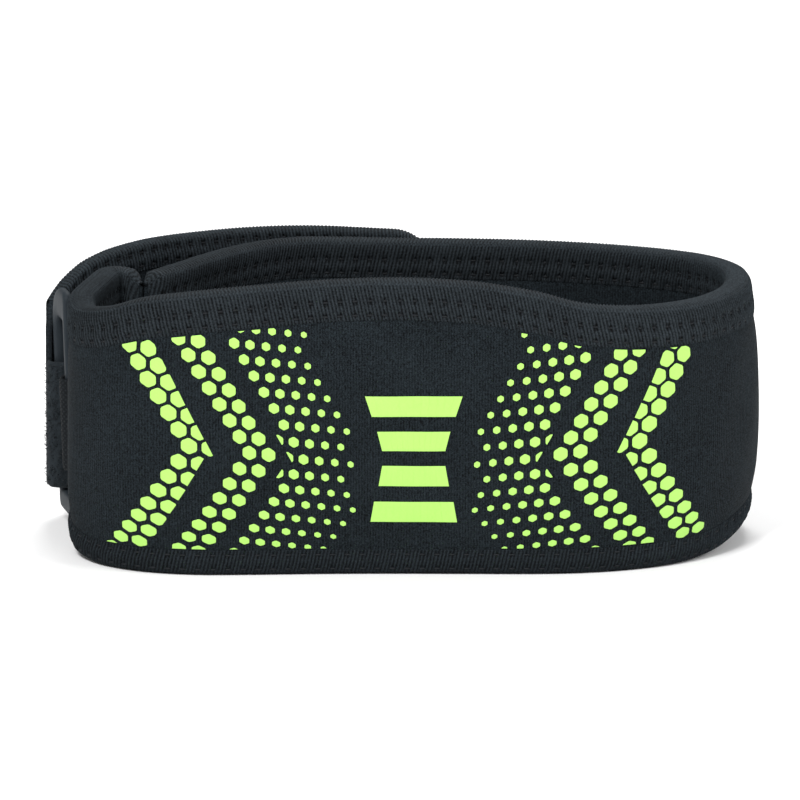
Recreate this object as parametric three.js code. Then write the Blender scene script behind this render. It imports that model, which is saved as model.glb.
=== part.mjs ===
// Patella strap, fastened in its worn loop and standing on its lower edge.
// Millimetres. X runs to the wearer's side at the right, Y away from the printed front, Z up.
import * as THREE from "three";

// Sizes of the whole strap
const HALF_WIDTH = 79; // from the middle to the widest point of the loop
const HALF_DEPTH = 38.6; // from the middle to the outside of the front
const HEIGHT = 66.6; // top of the crown at the middle of the front

// Cloth and tape
const PAD = 4.4; // neoprene strip
const TAPE = 0.9; // edge tape of the strip
const TAPE_REACH = 8.8; // how far the upper tape reaches down each face
const FOOT_REACH = 5.8; // how far the lower tape reaches up each face
const THIN_TAPE = 0.6; // edge tape of the closing strap
const THIN_REACH = 6.5;
const STRAP = 2.6; // closing strap without its tape
const SEAT = 0.3; // clearance between pieces that lie on each other
const END_ROUND = 9; // corners of the free end

// Neck, tab and hook patch
const NECK = 1.4;
const NECK_BOTTOM = 8.6;
const NECK_TOP = 37.4;
const TAB = 0.8;
const TAB_BOTTOM = 15;
const TAB_TOP = 36;
const HOOK = 1.2;
const HOOK_LENGTH = 17;
const HOOK_MARGIN = 3; // between the patch and the edge tape
const TAPE_START = 4.2; // where the closing strap's tape begins after the ring

// Ring
const RING_BAR = 2.4; // thickness of the plate and width of its side bars
const RING_BOTTOM = 3.4;
const RING_TOP = 55.4;
const RING_FOOT = 4.6; // height of the lower bar
const RING_HEAD = 7.2; // height of the upper bar
const RING_SPAN = 11.5; // between the middles of the two side bars
const RING_LEAN = 0.035; // the top of the ring leans outwards by this share of its height
const RING_AT = [-0.938, 0.126]; // middle of the ring as shares of the half sizes
const RING_TURN = 12.6; // degrees that its plane turns from straight back

// The strip from the tip of its tongue, round the front and the right, to the end of the rear wall.
// x and y are shares of the half sizes, top and bottom shares of the height, and lean, as a share
// of the pad's thickness, is how far the two edges lie inside the middle of the face.
// x, y, top, bottom, lean
const STRIP = [
  [-0.743, 0.114, 0.875, 0, 0],
  [-0.762, 0.168, 0.884, 0, 0],
  [-0.791, 0.187, 0.89, 0, 0],
  [-0.819, 0.155, 0.892, 0, 0.023],
  [-0.838, 0.085, 0.892, 0.005, 0.114],
  [-0.858, -0.031, 0.889, 0.024, 0.182],
  [-0.881, -0.181, 0.883, 0.051, 0.159],
  [-0.899, -0.337, 0.874, 0.054, 0.114],
  [-0.887, -0.531, 0.859, 0.018, 0.136],
  [-0.823, -0.733, 0.88, 0, 0.205],
  [-0.722, -0.877, 0.928, 0, 0.25],
  [-0.582, -0.948, 0.956, 0, 0.227],
  [-0.418, -0.948, 0.976, 0, 0.227],
  [-0.203, -0.927, 0.994, 0, 0.227],
  [0, -0.922, 1, 0, 0.227],
  [0.203, -0.927, 0.988, 0, 0.227],
  [0.38, -0.93, 0.955, 0, 0.227],
  [0.506, -0.912, 0.914, 0, 0.25],
  [0.633, -0.85, 0.895, 0, 0.295],
  [0.759, -0.725, 0.886, 0, 0.341],
  [0.873, -0.518, 0.881, 0.014, 0.432],
  [0.952, -0.249, 0.883, 0.048, 0.5],
  [0.975, 0, 0.889, 0.069, 0.5],
  [0.952, 0.249, 0.893, 0.048, 0.455],
  [0.877, 0.466, 0.893, 0.014, 0.364],
  [0.766, 0.617, 0.893, 0, 0.273],
  [0.595, 0.751, 0.893, 0, 0.227],
  [0.38, 0.85, 0.893, 0, 0.182],
  [0.152, 0.896, 0.893, 0, 0.182],
  [0, 0.907, 0.893, 0, 0.182],
  [-0.152, 0.93, 0.893, 0, 0.182],
  [-0.272, 0.927, 0.893, 0, 0.182],
  [-0.373, 0.86, 0.892, 0, 0.182],
  [-0.471, 0.705, 0.89, 0, 0.182],
  [-0.556, 0.518, 0.887, 0, 0.182],
  [-0.625, 0.355, 0.881, 0, 0.182],
  [-0.691, 0.19, 0.874, 0, 0.136],
];

// The closing strap from the ring to its free end, in the same shares.
// x, y, top, bottom, thickness as a share of the strap's
const CLOSING = [
  [-0.992, 0.282, 0.688, 0.126, 0.538],
  [-0.984, 0.373, 0.748, 0.123, 0.769],
  [-0.946, 0.464, 0.808, 0.111, 1],
  [-0.895, 0.541, 0.856, 0.096, 1],
  [-0.829, 0.637, 0.884, 0.084, 1],
  [-0.743, 0.775, 0.898, 0.078, 1],
  [-0.661, 0.896, 0.901, 0.075, 1],
  [-0.552, 1.018, 0.901, 0.075, 1],
  [-0.443, 1.106, 0.901, 0.075, 1],
  [-0.335, 1.15, 0.901, 0.075, 1],
  [-0.225, 1.148, 0.901, 0.075, 1],
  [-0.119, 1.106, 0.901, 0.075, 1],
  [-0.025, 1.067, 0.901, 0.075, 1],
  [0.094, 1.057, 0.901, 0.075, 1],
];

// The neck from the rear wall through the ring and round its rear bar: x, y.
const NECK_LINE = [
  [-0.499, 0.772],
  [-0.587, 0.575],
  [-0.653, 0.425],
  [-0.714, 0.324],
  [-0.79, 0.29],
  [-0.867, 0.246],
  [-0.927, 0.205],
  [-0.957, 0.194],
  [-0.984, 0.218],
  [-0.992, 0.262],
];

// A smooth line through the rows of a table. It gives a point, the direction across the face
// and the further columns at any distance along it.
function lineOf(rows, side) {
  const plan = new THREE.CatmullRomCurve3(
    rows.map((r) => new THREE.Vector3(r[0] * HALF_WIDTH, r[1] * HALF_DEPTH, 0)),
    false,
    "centripetal",
  );
  plan.arcLengthDivisions = rows.length * 24;
  const length = plan.getLength();
  const column = (s, k) => {
    const t = plan.getUtoTmapping(THREE.MathUtils.clamp(s / length, 0, 1)) * (rows.length - 1);
    const i = Math.min(Math.floor(t), rows.length - 2);
    const f = t - i;
    const at = (j) => rows[THREE.MathUtils.clamp(j, 0, rows.length - 1)][k];
    const [a, b, c, d] = [at(i - 1), at(i), at(i + 1), at(i + 2)];
    return b + 0.5 * f * (c - a + f * (2 * a - 5 * b + 4 * c - d + f * (3 * (b - c) + d - a)));
  };
  const place = (s, across) => {
    const u = THREE.MathUtils.clamp(s / length, 0, 1);
    const p = plan.getPointAt(u);
    const t = plan.getTangentAt(u);
    const past = s - u * length;
    return [
      p.x + side * t.y * across + t.x * past,
      p.y - side * t.x * across + t.y * past,
    ];
  };
  return { length, column, place };
}

// Joins one closed ring of points per station into a closed body, with flat ends.
function skin(stations, flat) {
  const n = stations[0].length;
  const points = stations.flat();
  const faces = [];
  for (let i = 0; i + 1 < stations.length; i++) {
    for (let j = 0; j < n; j++) {
      const a = i * n + j;
      const b = i * n + ((j + 1) % n);
      faces.push([a, b, b + n], [a, b + n, a + n]);
    }
  }
  const cap = THREE.ShapeUtils.triangulateShape(flat.map((q) => new THREE.Vector2(...q)), []);
  const last = (stations.length - 1) * n;
  for (const [a, b, c] of cap) {
    faces.push([a, c, b], [a + last, b + last, c + last]);
  }
  let volume = 0;
  for (const f of faces) {
    const [p, q, r] = f.map((k) => new THREE.Vector3(...points[k]));
    volume += p.dot(q.cross(r));
  }
  const out = volume > 0 ? faces : faces.map(([a, b, c]) => [a, c, b]);
  const body = new THREE.BufferGeometry();
  body.setAttribute("position", new THREE.Float32BufferAttribute(points.flat(), 3));
  body.setIndex(out.flat());
  body.computeVertexNormals();
  return body;
}

const spread = (from, to, count) =>
  Array.from({ length: count }, (_, i) => from + ((to - from) * i) / (count - 1));

// The padded strip and its two tapes share one wall
const strip = lineOf(STRIP, 1);
const wall = {
  top: (s) => strip.column(s, 2) * HEIGHT,
  bottom: (s) => Math.max(0, strip.column(s, 3) * HEIGHT),
  at(s, z, across) {
    const top = this.top(s);
    const low = this.bottom(s);
    const share = (2 * z - top - low) / (top - low);
    const lean = strip.column(s, 4) * PAD * share * share;
    return [...strip.place(s, across - lean), z];
  },
};
const STATIONS = spread(0, strip.length, 92);

function frontPanel() {
  const levels = [0, 0.07, 0.2, 0.4, 0.6, 0.8, 0.93, 1];
  const inset = TAPE + SEAT;
  const face = (s) => {
    const low = wall.bottom(s) + inset;
    const high = wall.top(s) - inset;
    const z = levels.map((k) => low + (high - low) * k);
    return [
      ...z.map((v) => wall.at(s, v, PAD / 2)),
      ...z.reverse().map((v) => wall.at(s, v, -PAD / 2)),
    ];
  };
  const flat = [...levels.map((k) => [1, k]), ...[...levels].reverse().map((k) => [-1, k])];
  return skin(STATIONS.map(face), flat);
}

// The section of an edge tape: how far in from the edge, and how far across from the middle.
// It is flat where it rests.
function tapeSection(half, tape, reach) {
  const out = half + SEAT + tape;
  const inside = half + SEAT;
  return [
    [reach, out],
    [tape * 2, out],
    [tape * 0.5, out * 0.78],
    [0, out * 0.4],
    [0, -out * 0.4],
    [tape * 0.5, -out * 0.78],
    [tape * 2, -out],
    [reach, -out],
    [reach, -inside],
    [tape, -inside],
    [tape, inside],
    [reach, inside],
  ];
}

function topBinding() {
  const section = tapeSection(PAD / 2, TAPE, TAPE_REACH);
  const ring = (s) => section.map(([m, n]) => wall.at(s, wall.top(s) - m, n));
  return skin(STATIONS.map(ring), section);
}

function bottomBinding() {
  const section = tapeSection(PAD / 2, TAPE, FOOT_REACH);
  const ring = (s) => section.map(([m, n]) => wall.at(s, wall.bottom(s) + m, n));
  return skin(STATIONS.map(ring), section);
}

// The closing strap, its edge tape and its hook patch
const closing = lineOf(CLOSING, -1);
const REACH = closing.length;
const closingTop = (s) => closing.column(s, 2) * HEIGHT;
const closingBottom = (s) => closing.column(s, 3) * HEIGHT;
const closingHalf = (s) => (closing.column(s, 4) * STRAP) / 2;
const closingAt = (s, z, across) => [...closing.place(s, across), z];

function outerStrap() {
  const inset = THIN_TAPE + SEAT;
  const round = END_ROUND - inset;
  const end = REACH - inset;
  const corner = spread(0, Math.PI / 2, 7).map((a) => end - round + round * Math.sin(a));
  const stations = [...spread(0, end - round, 30).slice(0, -1), ...corner];
  const shares = [0, 0.12, 0.5, 0.88, 1];
  const face = (s) => {
    const past = Math.max(0, s - (end - round));
    const cut = round - Math.sqrt(Math.max(0, round * round - past * past));
    const low = closingBottom(s) + inset + cut;
    const high = closingTop(s) - inset - cut;
    const half = closingHalf(s);
    const z = shares.map((k) => low + (high - low) * k);
    return [
      ...z.map((v) => closingAt(s, v, half)),
      ...z.reverse().map((v) => closingAt(s, v, -half)),
    ];
  };
  const flat = [...shares.map((k) => [1, k]), ...[...shares].reverse().map((k) => [-1, k])];
  return skin(stations.map(face), flat);
}

function outerBinding() {
  const bend = REACH - END_ROUND;
  const high = closingTop(REACH);
  const low = closingBottom(REACH);
  const turn = spread(0, Math.PI / 2, 6);
  const along = spread(TAPE_START, bend, 26).slice(0, -1);
  const edge = [
    ...along.map((s) => [s, closingTop(s), 0, -1]),
    ...turn.map((a) => [
      bend + END_ROUND * Math.sin(a),
      high - END_ROUND * (1 - Math.cos(a)),
      -Math.sin(a),
      -Math.cos(a),
    ]),
    ...[...turn].reverse().map((a) => [
      bend + END_ROUND * Math.sin(a),
      low + END_ROUND * (1 - Math.cos(a)),
      -Math.sin(a),
      Math.cos(a),
    ]),
    ...[...along].reverse().map((s) => [s, closingBottom(s), 0, 1]),
  ];
  const ring = ([s, z, ms, mz]) => {
    const section = tapeSection(closingHalf(s), THIN_TAPE, THIN_REACH);
    return section.map(([m, n]) => closingAt(s + m * ms, z + m * mz, n));
  };
  return skin(edge.map(ring), tapeSection(STRAP / 2, THIN_TAPE, THIN_REACH));
}

function hookPatch() {
  const across = STRAP / 2 + SEAT + HOOK / 2;
  const from = REACH - HOOK_LENGTH - THIN_REACH - HOOK_MARGIN / 6;
  const low = closingBottom(REACH) + THIN_REACH + HOOK_MARGIN;
  const high = closingTop(REACH) - THIN_REACH - HOOK_MARGIN;
  const corners = [
    [HOOK / 2, low],
    [HOOK / 2, high],
    [-HOOK / 2, high],
    [-HOOK / 2, low],
  ];
  const ring = (s) => corners.map(([n, z]) => closingAt(s, z, n - across));
  return skin(spread(from, from + HOOK_LENGTH, 8).map(ring), corners);
}

// A plain band of webbing on edge, along a line, that may lean with the ring
function webbing(line, thick, low, high, lean, count) {
  const corners = [
    [thick / 2, low],
    [thick / 2, high],
    [-thick / 2, high],
    [-thick / 2, low],
  ];
  const ring = (s) =>
    corners.map(([n, z]) => {
      const [x, y] = line.place(s, n);
      return [x - lean * (z - HEIGHT / 3), y, z];
    });
  return skin(spread(0, line.length, count).map(ring), corners);
}

// The tab's line: from the fold of the strip, round the ring's front bar and back beside itself
function tabLine() {
  const turn = THREE.MathUtils.degToRad(RING_TURN);
  const back = [-Math.sin(turn), Math.cos(turn)];
  const bar = [0, 1].map((k) => RING_AT[k] * [HALF_WIDTH, HALF_DEPTH][k] - (back[k] * RING_SPAN) / 2);
  const wrap = RING_BAR * 0.64 + SEAT + TAB / 2;
  const place = ([x, y]) => [(bar[0] + x * wrap) / HALF_WIDTH, (bar[1] + y * wrap) / HALF_DEPTH];
  const round = [10, -50, -100, -150, -200, -240].map((d) => {
    const a = THREE.MathUtils.degToRad(d);
    return [Math.cos(a), Math.sin(a)];
  });
  const inner = [1.5, 2.65];
  const outer = [0.75, 2.85];
  return lineOf([inner, [1.2, 1.4], ...round.slice(0, 5), [-0.65, 1.15], outer].map(place), 1);
}

// The ring is a flat plate. Its opening is between two slim side bars, and the upper corner
// at the rear is widely rounded.
function ringPlate() {
  const half = (RING_SPAN + RING_BAR) / 2;
  const tall = RING_TOP - RING_BOTTOM;
  const far = half * 1.5;
  const near = half * 0.4;
  const foot = half * 0.3;
  const plate = new THREE.Shape();
  plate.moveTo(-half + foot, 0);
  plate.lineTo(half - foot, 0);
  plate.quadraticCurveTo(half, 0, half, foot);
  plate.lineTo(half, tall - far);
  plate.quadraticCurveTo(half, tall, half - far, tall);
  plate.lineTo(-half + near, tall);
  plate.quadraticCurveTo(-half, tall, -half, tall - near);
  plate.lineTo(-half, foot);
  plate.quadraticCurveTo(-half, 0, -half + foot, 0);
  const gap = half - RING_BAR;
  const sill = RING_FOOT;
  const head = tall - RING_HEAD;
  const r = gap * 0.35;
  const opening = new THREE.Path();
  opening.moveTo(-gap + r, sill);
  opening.quadraticCurveTo(-gap, sill, -gap, sill + r);
  opening.lineTo(-gap, head - r);
  opening.quadraticCurveTo(-gap, head, -gap + r, head);
  opening.lineTo(0, head);
  opening.quadraticCurveTo(gap, head, gap, head - gap * 1.3);
  opening.lineTo(gap, sill + r);
  opening.quadraticCurveTo(gap, sill, gap - r, sill);
  opening.lineTo(-gap + r, sill);
  plate.holes.push(opening);
  const edge = RING_BAR * 0.16;
  const body = new THREE.ExtrudeGeometry(plate, {
    depth: RING_BAR - 2 * edge,
    bevelThickness: edge,
    bevelSize: edge,
    bevelOffset: -edge,
    bevelSegments: 2,
    curveSegments: 7,
  });
  body.translate(0, 0, edge - RING_BAR / 2);
  // plate width runs back, its height up and its thickness to the side
  const basis = new THREE.Matrix4().makeBasis(
    new THREE.Vector3(0, 1, 0),
    new THREE.Vector3(0, 0, 1),
    new THREE.Vector3(1, 0, 0),
  );
  body.applyMatrix4(basis);
  body.rotateZ(THREE.MathUtils.degToRad(RING_TURN));
  const lean = new THREE.Matrix4().set(
    1, 0, -RING_LEAN, (HEIGHT / 3 - RING_BOTTOM) * RING_LEAN,
    0, 1, 0, 0,
    0, 0, 1, 0,
    0, 0, 0, 1,
  );
  body.applyMatrix4(lean);
  body.translate(RING_AT[0] * HALF_WIDTH, RING_AT[1] * HALF_DEPTH, RING_BOTTOM);
  return body;
}

const CLOTH = { color: 0x1b1e22, roughness: 0.9, metalness: 0 };
const TAPE_CLOTH = { color: 0x23272b, roughness: 0.85, metalness: 0 };
const PILE = { color: 0x2c3136, roughness: 0.95, metalness: 0 };
const PLASTIC = { color: 0x4a4e56, roughness: 0.35, metalness: 0 };

const part = new THREE.Group();
const add = (name, body, look) => {
  const mesh = new THREE.Mesh(body, new THREE.MeshStandardMaterial(look));
  mesh.name = name;
  part.add(mesh);
};
add("front_panel", frontPanel(), CLOTH);
add("top_binding", topBinding(), TAPE_CLOTH);
add("bottom_binding", bottomBinding(), TAPE_CLOTH);
add("outer_strap", outerStrap(), CLOTH);
add("outer_binding", outerBinding(), TAPE_CLOTH);
add("hook_patch", hookPatch(), PILE);
add("neck_strap", webbing(lineOf(NECK_LINE, 1), NECK, NECK_BOTTOM, NECK_TOP, 0, 46), PILE);
add("ring_tab", webbing(tabLine(), TAB, TAB_BOTTOM, TAB_TOP, RING_LEAN, 34), CLOTH);
add("ring", ringPlate(), PLASTIC);

// The middle of the whole, at the level it stands on, is the frame's own zero
const extent = new THREE.Box3().setFromObject(part);
const middle = extent.getCenter(new THREE.Vector3());
part.position.set(-middle.x, -middle.y, -extent.min.z);

export default part;
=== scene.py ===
"""Patella strap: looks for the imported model, in metres, in the model's own frame."""

import math

import bmesh
import bpy
import numpy as np
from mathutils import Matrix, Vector


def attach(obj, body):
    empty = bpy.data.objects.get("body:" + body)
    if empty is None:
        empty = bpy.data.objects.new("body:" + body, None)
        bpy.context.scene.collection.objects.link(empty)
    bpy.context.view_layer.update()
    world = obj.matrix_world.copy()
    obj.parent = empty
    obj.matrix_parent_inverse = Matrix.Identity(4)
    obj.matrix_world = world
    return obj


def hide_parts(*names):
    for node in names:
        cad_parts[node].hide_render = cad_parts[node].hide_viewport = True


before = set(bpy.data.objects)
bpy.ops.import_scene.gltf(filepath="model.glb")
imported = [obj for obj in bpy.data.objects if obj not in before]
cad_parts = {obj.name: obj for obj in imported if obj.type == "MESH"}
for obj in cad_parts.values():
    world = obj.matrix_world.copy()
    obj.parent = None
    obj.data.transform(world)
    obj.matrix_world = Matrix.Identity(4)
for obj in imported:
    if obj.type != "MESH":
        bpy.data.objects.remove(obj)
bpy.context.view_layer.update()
MM = 0.001


# Camera. The photograph looks straight at the printed front from a little above,
# with a long lens, so the camera stands far off with a narrow view.
VIEW_WIDTH = 178.1 * MM
CAMERA_FAR = 4.0
SENSOR_WIDTH = 36.0
ELEVATION = math.radians(13.7)
AIM = Vector((-0.147, -3.512, 30.61)) * MM

camera_data = bpy.data.cameras.new("camera")
camera_data.sensor_width = SENSOR_WIDTH
camera_data.lens = SENSOR_WIDTH * CAMERA_FAR / VIEW_WIDTH
camera_data.clip_start = 0.1
camera_data.clip_end = 50
camera = bpy.data.objects.new("camera", camera_data)
bpy.context.scene.collection.objects.link(camera)
away = Vector((0, -math.cos(ELEVATION), math.sin(ELEVATION)))
camera.location = AIM + away * CAMERA_FAR
camera.rotation_euler = (-away).to_track_quat("-Z", "Y").to_euler()
bpy.context.scene.camera = camera


# Floor and light: a plain pale sweep under a bright, even studio light, with a soft key
# from above and in front that draws out the tape's ribs, and weaker lamps at the right
# and behind.
FLOOR_SIDE = 4.0
FLOOR_BACK = 6.0
WORLD_LIGHT = 0.46


class Wire:
    """Surface maths: a socket that can be added, multiplied and so on."""

    def __init__(self, tree, socket):
        self.tree = tree
        self.socket = socket

    def math(self, operation, other=None, swap=False, clamp=False):
        node = self.tree.nodes.new("ShaderNodeMath")
        node.operation = operation
        node.use_clamp = clamp
        first, second = (1, 0) if swap else (0, 1)
        self.tree.links.new(self.socket, node.inputs[first])
        if isinstance(other, Wire):
            self.tree.links.new(other.socket, node.inputs[second])
        elif other is not None:
            node.inputs[second].default_value = other
        return Wire(self.tree, node.outputs[0])

    def __add__(self, other):
        return self.math("ADD", other)

    __radd__ = __add__

    def __sub__(self, other):
        return self.math("SUBTRACT", other)

    def __rsub__(self, other):
        return self.math("SUBTRACT", other, swap=True)

    def __mul__(self, other):
        return self.math("MULTIPLY", other)

    __rmul__ = __mul__

    def power(self, other):
        return self.math("POWER", other)

    def wave(self, pitch):
        """A cosine from 0 to 1 with this pitch."""
        return (self * (2 * math.pi / pitch)).math("COSINE") * 0.5 + 0.5

    def clamp(self):
        return self.math("ADD", 0.0, clamp=True)


class Look:
    """A material with a Principled surface, and short ways to add nodes to it."""

    def __init__(self, name):
        self.material = bpy.data.materials.new(name)
        self.material.use_nodes = True
        self.tree = self.material.node_tree
        self.surface = self.tree.nodes["Principled BSDF"]
        self.coords = self.tree.nodes.new("ShaderNodeTexCoord")

    def node(self, kind, inputs, **settings):
        """A node of this kind: its settings first, then the values or wires of its sockets."""
        made = self.tree.nodes.new(kind)
        for key, value in settings.items():
            setattr(made, key, value)
        for key, value in inputs.items():
            if isinstance(value, Wire):
                self.tree.links.new(value.socket, made.inputs[key])
            else:
                made.inputs[key].default_value = value
        return made

    def coordinate(self, kind):
        return Wire(self.tree, self.coords.outputs[kind])

    def uv(self):
        """The UV map in millimetres, as two wires."""
        split = self.node("ShaderNodeSeparateXYZ", {"Vector": self.coordinate("UV")})
        return Wire(self.tree, split.outputs[0]), Wire(self.tree, split.outputs[1])

    def noise(self, size_mm, detail, seed=0.0):
        """Noise from 0 to 1 whose grain is about this many millimetres."""
        made = self.node(
            "ShaderNodeTexNoise",
            {
                "Vector": self.coordinate("Object"),
                "Scale": 1 / (size_mm * MM),
                "Detail": detail,
                "Roughness": 0.55,
                "W": seed,
            },
            noise_dimensions="4D",
        )
        return Wire(self.tree, made.outputs[0])

    def colours(self, factor, low, high):
        """Mixes the base colour from the low one at 0 to the high one at 1."""
        # socket 0 of a Mix node is its factor, and sockets 6 and 7 are its two colours
        ends = {0: factor.clamp(), 6: (*low, 1), 7: (*high, 1)}
        mix = self.node("ShaderNodeMix", ends, data_type="RGBA")
        self.tree.links.new(mix.outputs[2], self.surface.inputs["Base Color"])

    def roughness(self, wire):
        self.tree.links.new(wire.clamp().socket, self.surface.inputs["Roughness"])

    def bump(self, height, depth_mm):
        made = self.node("ShaderNodeBump", {"Distance": depth_mm * MM, "Height": height})
        self.tree.links.new(made.outputs[0], self.surface.inputs["Normal"])

    def set(self, **values):
        """Sets sockets of the surface that stay the same all over."""
        for key, value in values.items():
            self.surface.inputs[key.replace("_", " ")].default_value = value


floor_mesh = bpy.data.meshes.new("floor")
floor_corners = [
    (-FLOOR_SIDE, -FLOOR_SIDE, 0),
    (FLOOR_SIDE, -FLOOR_SIDE, 0),
    (FLOOR_SIDE, FLOOR_BACK, 0),
    (-FLOOR_SIDE, FLOOR_BACK, 0),
]
floor_mesh.from_pydata(floor_corners, [], [(0, 1, 2, 3)])
floor = bpy.data.objects.new("floor", floor_mesh)
bpy.context.scene.collection.objects.link(floor)
floor_look = Look("pale_floor")
floor_look.colours(floor_look.noise(30.0, 2.0), (0.93, 0.93, 0.93), (0.95, 0.95, 0.95))
floor_look.set(Roughness=0.9, Specular_IOR_Level=0.1)
floor_mesh.materials.append(floor_look.material)

world = bpy.data.worlds.new("studio")
world.use_nodes = True
world.node_tree.nodes["Background"].inputs[0].default_value = (1.0, 1.0, 1.0, 1)
world.node_tree.nodes["Background"].inputs[1].default_value = WORLD_LIGHT
bpy.context.scene.world = world


def area_light(name, place, size, watts):
    data = bpy.data.lights.new(name, "AREA")
    data.size = size
    data.energy = watts
    lamp = bpy.data.objects.new(name, data)
    lamp.location = place
    lamp.rotation_euler = (AIM - Vector(place)).to_track_quat("-Z", "Y").to_euler()
    bpy.context.scene.collection.objects.link(lamp)


area_light("key", (-0.45, -0.75, 0.95), size=0.4, watts=13.0)
area_light("side", (0.9, -0.45, 0.6), size=0.4, watts=5.0)
area_light("rear", (0.1, 0.6, 1.0), size=0.5, watts=8.5)
bpy.context.scene.view_settings.view_transform = "Standard"


# Padded strip. One band of knit-faced neoprene: skin-guard tongue, printed front, right
# turn and rear wall. It swells a little between its taped edges and is pinched where the
# tape is sewn. Sizes here and below are in millimetres, as in the model's source.
HEIGHT = 66.6
PAD = 4.4
TAPE = 0.9  # edge tape
TAPE_REACH = 8.8  # of the upper tape down each face
FOOT_REACH = 5.8  # of the lower tape up each face
SEAT = 0.3  # clearance between pieces that lie on each other
SHIFT = (-0.147, -3.512)  # from the source's plan to the frame

# x, y, top, bottom and how far both edges lean in, from the tongue's tip to the end of the
# rear wall. The two ends turn towards each other, as they lie when the strap is closed.
STRIP = (
    (-57.6, 5.5, 57.9, 0, 0),
    (-59.8, 6.8, 58.8, 0, 0),
    (-62.3, 7.2, 59.3, 0, 0),
    (-64.7, 6, 59.4, 0, 0.1),
    (-66.2, 3.3, 59.4, 0.3, 0.5),
    (-67.8, -1.2, 59.2, 1.6, 0.8),
    (-69.6, -7, 58.8, 3.4, 0.7),
    (-71, -13, 58.2, 3.6, 0.5),
    (-70.1, -20.5, 57.2, 1.2, 0.6),
    (-65, -28.3, 58.6, 0, 0.9),
    (-57, -33.9, 61.8, 0, 1.1),
    (-46, -36.6, 63.7, 0, 1),
    (-33, -36.6, 65, 0, 1),
    (-16, -35.8, 66.2, 0, 1),
    (0, -35.6, 66.6, 0, 1),
    (16, -35.8, 65.8, 0, 1),
    (30, -35.9, 63.6, 0, 1),
    (40, -35.2, 60.9, 0, 1.1),
    (50, -32.8, 59.6, 0, 1.3),
    (60, -28, 59, 0, 1.5),
    (69, -20, 58.7, 0.9, 1.9),
    (75.2, -9.6, 58.8, 3.2, 2.2),
    (77, 0, 59.2, 4.6, 2.2),
    (75.2, 9.6, 59.5, 3.2, 2),
    (69.3, 18, 59.5, 0.9, 1.6),
    (60.5, 23.8, 59.5, 0, 1.2),
    (47, 29, 59.5, 0, 1),
    (30, 32.8, 59.5, 0, 0.8),
    (12, 34.6, 59.5, 0, 0.8),
    (0, 35, 59.5, 0, 0.8),
    (-12, 35.9, 59.5, 0, 0.8),
    (-21.5, 35.8, 59.5, 0, 0.8),
    (-29.5, 33.2, 59.4, 0, 0.8),
    (-37.2, 27.2, 59.3, 0, 0.8),
    (-43.9, 20, 59.1, 0, 0.8),
    (-49.4, 13.7, 58.7, 0, 0.8),
    (-52.6, 10.3, 58.4, 0, 0.4),
    (-54.5, 8.3, 58.2, 0, 0.3),
    (-56.8, 6.3, 57.8, 0, 0.1),
)


class Line:
    """A smooth line through a table's rows: place and columns at any distance along.

    The plan is a centripetal Catmull-Rom curve, as in the model's source.
    """

    def __init__(self, rows, side, samples=80):
        table = np.array(rows, float)
        n = len(table)
        p = table[:, :2]
        more = table[:, 2:]
        q = np.vstack([2 * p[0] - p[1], p, 2 * p[-1] - p[-2]])
        f = np.linspace(0, 1, samples, endpoint=False)[:, None]
        plan, columns = [], []
        for i in range(n - 1):
            p0, p1, p2, p3 = q[i : i + 4]
            d0, d1, d2 = (
                math.sqrt(np.linalg.norm(b - a)) for a, b in ((p0, p1), (p1, p2), (p2, p3))
            )
            t1 = ((p1 - p0) / d0 - (p2 - p0) / (d0 + d1) + (p2 - p1) / d1) * d1
            t2 = ((p2 - p1) / d1 - (p3 - p1) / (d1 + d2) + (p3 - p2) / d2) * d1
            plan.append(
                p1
                + t1 * f
                + (-3 * p1 + 3 * p2 - 2 * t1 - t2) * f**2
                + (2 * p1 - 2 * p2 + t1 + t2) * f**3
            )
            a, b, c, d = (more[min(max(j, 0), n - 1)] for j in (i - 1, i, i + 1, i + 2))
            columns.append(
                b + 0.5 * f * (c - a + f * (2 * a - 5 * b + 4 * c - d + f * (3 * (b - c) + d - a)))
            )
        self.plan = np.vstack([*plan, p[-1:]]) + SHIFT
        self.columns = np.vstack([*columns, more[-1:]])
        steps = np.linalg.norm(np.diff(self.plan, axis=0), axis=1)
        self.s = np.concatenate([[0], np.cumsum(steps)])
        self.length = self.s[-1]
        way = np.gradient(self.plan, axis=0)
        way /= np.linalg.norm(way, axis=1)[:, None]
        self.way = way
        self.out = side * np.stack([way[:, 1], -way[:, 0]], 1)

    def column(self, s, k):
        return np.interp(s, self.s, self.columns[:, k])

    def along(self, table, s):
        """A row of one of the line's own tables, such as its outward direction."""
        return np.stack([np.interp(s, self.s, table[:, k]) for k in (0, 1)], -1)

    def place(self, s, across):
        """A point of the plan beside the line, which goes on straight past its ends."""
        s = np.asarray(s, float)
        past = s - np.clip(s, 0, self.length)
        return (
            self.along(self.plan, s)
            + self.along(self.out, s) * np.asarray(across, float)[..., None]
            + self.along(self.way, s) * past[..., None]
        )


strip = Line(STRIP, 1)


def wall_top(s):
    return strip.column(s, 0)


def wall_bottom(s):
    return np.maximum(0, strip.column(s, 1))


def wall_at(s, z, across):
    """A point of the strip's wall. Both edges lean in from the middle of the face."""
    s, z, across = np.broadcast_arrays(np.asarray(s, float), z, across)
    top, low = wall_top(s), wall_bottom(s)
    share = (2 * z - top - low) / (top - low)
    plan = strip.place(s, across - strip.column(s, 2) * share**2)
    return np.concatenate([plan, z[..., None]], -1)


def seen(r, g, b):
    """A colour as it shows on a screen, 0 to 255, in the renderer's linear values."""
    return tuple(
        c / 255 / 12.92 if c / 255 <= 0.04045 else ((c / 255 + 0.055) / 1.055) ** 2.4
        for c in (r, g, b)
    )


# Knit face of the neoprene: fine upright wales, each a row of small stitches, with
# lighter fibres caught here and there.
WALE = 0.62
COURSE = 0.48


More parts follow.
